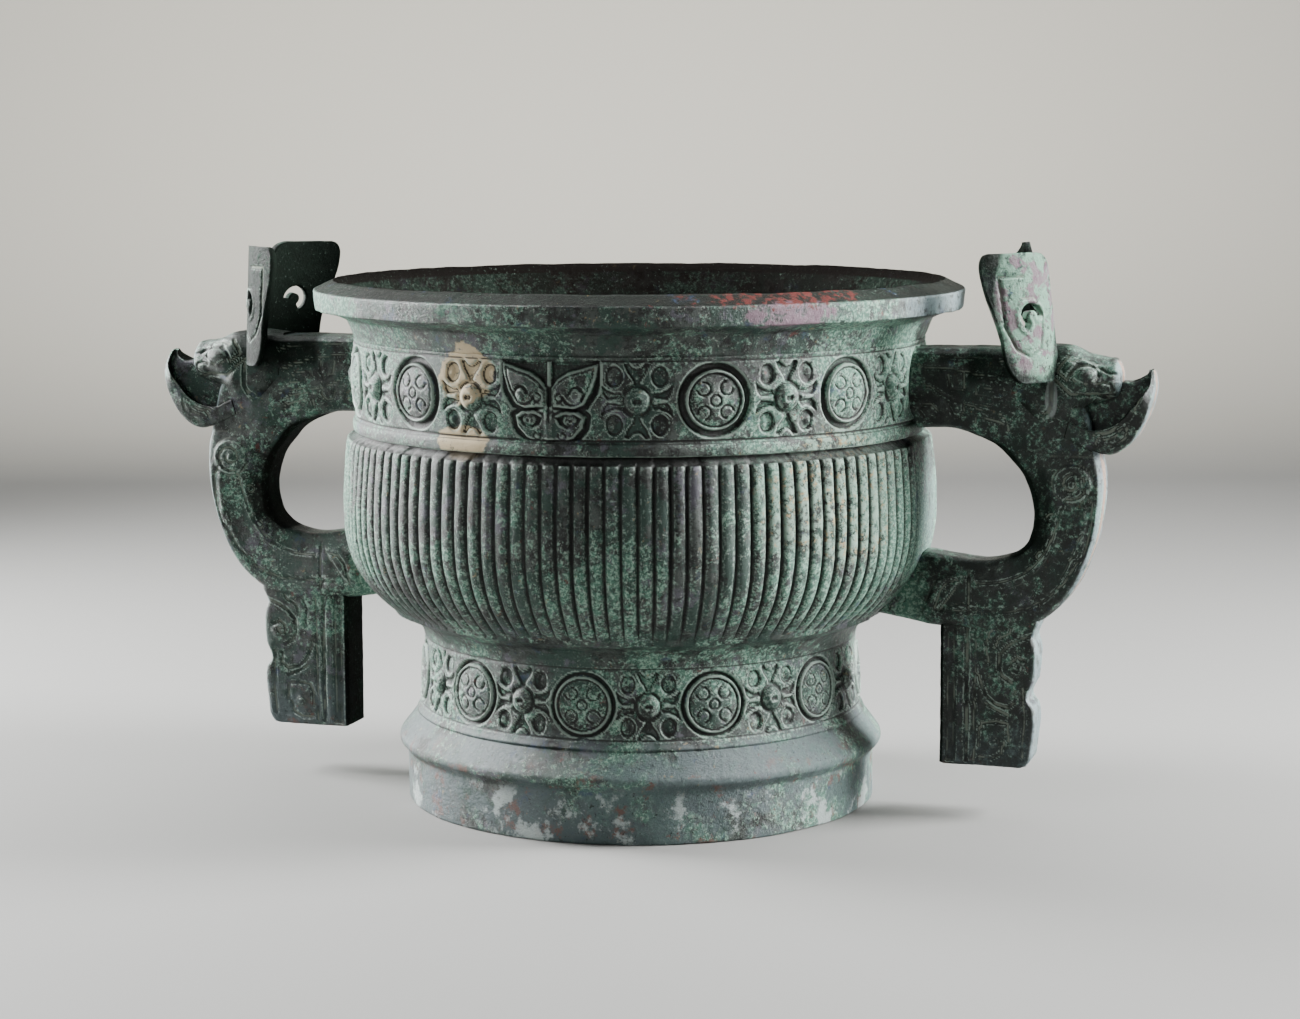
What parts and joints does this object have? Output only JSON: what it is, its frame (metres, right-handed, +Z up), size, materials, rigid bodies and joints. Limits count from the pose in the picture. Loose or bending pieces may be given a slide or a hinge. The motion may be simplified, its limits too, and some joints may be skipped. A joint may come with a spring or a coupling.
{
  "type": "bronze gui vessel",
  "caption": "Round bronze food vessel on a flared ring foot, with ribbed belly, ornament bands and beast-head loop handles with hanging pendants.",
  "frame": {"origin": "middle of the ring foot's underside, on the surface the vessel stands on", "axes": "+Z up, +X through the two handles, -Y through the mask on the front of the neck"},
  "size_m": [0.422, 0.2666, 0.2293],
  "materials": {
    "patinated_bronze": "ancient bronze under a dark grey-green patina with pale green crusts, dull, worn lighter on edges"
  },
  "bodies": {
    "root": {"gui_vessel": "patinated_bronze"}
  },
  "joints": []
}
